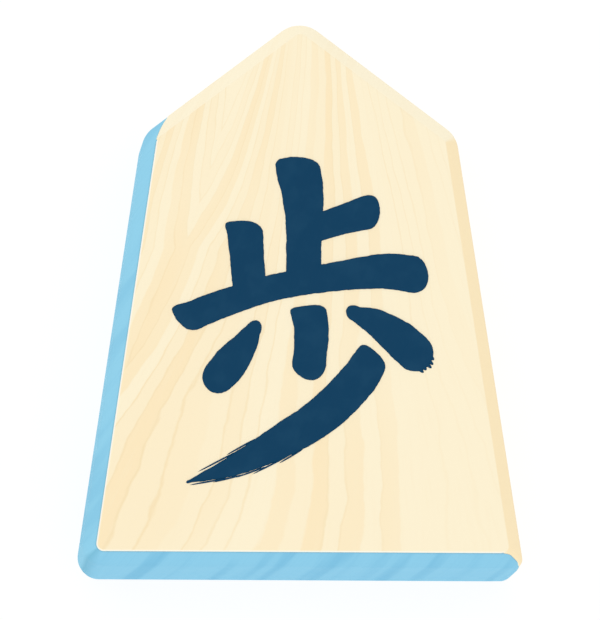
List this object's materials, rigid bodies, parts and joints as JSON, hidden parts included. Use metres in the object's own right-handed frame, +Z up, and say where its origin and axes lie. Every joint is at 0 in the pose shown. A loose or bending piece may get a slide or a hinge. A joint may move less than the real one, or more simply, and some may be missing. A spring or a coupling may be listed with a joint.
{
  "type": "shogi piece",
  "caption": "Five-sided wooden shogi pawn, thick at the base and thin at the point, with lacquered left side and base, an inlaid rank mark in front and a promoted mark behind.",
  "frame": {"origin": "on the plane that the back face rests on, under the middle of the piece's box", "axes": "+Y from the base to the point, +Z up through the front face, +X to the right of a reader of the rank mark"},
  "size_m": [0.0222, 0.028, 0.0076],
  "materials": {
    "wood": "pale close-grained wood, sanded smooth",
    "edge_lacquer": "thin sky-blue lacquer, satin",
    "mark_lacquer": "navy lacquer, satin"
  },
  "bodies": {
    "root": {"body": "wood", "left_side_coat": "edge_lacquer", "base_coat": "edge_lacquer", "mark_top": "mark_lacquer", "mark_stem": "mark_lacquer", "mark_left_dot": "mark_lacquer", "mark_right_dot": "mark_lacquer", "mark_sweep": "mark_lacquer", "back_mark": "mark_lacquer"}
  },
  "joints": []
}
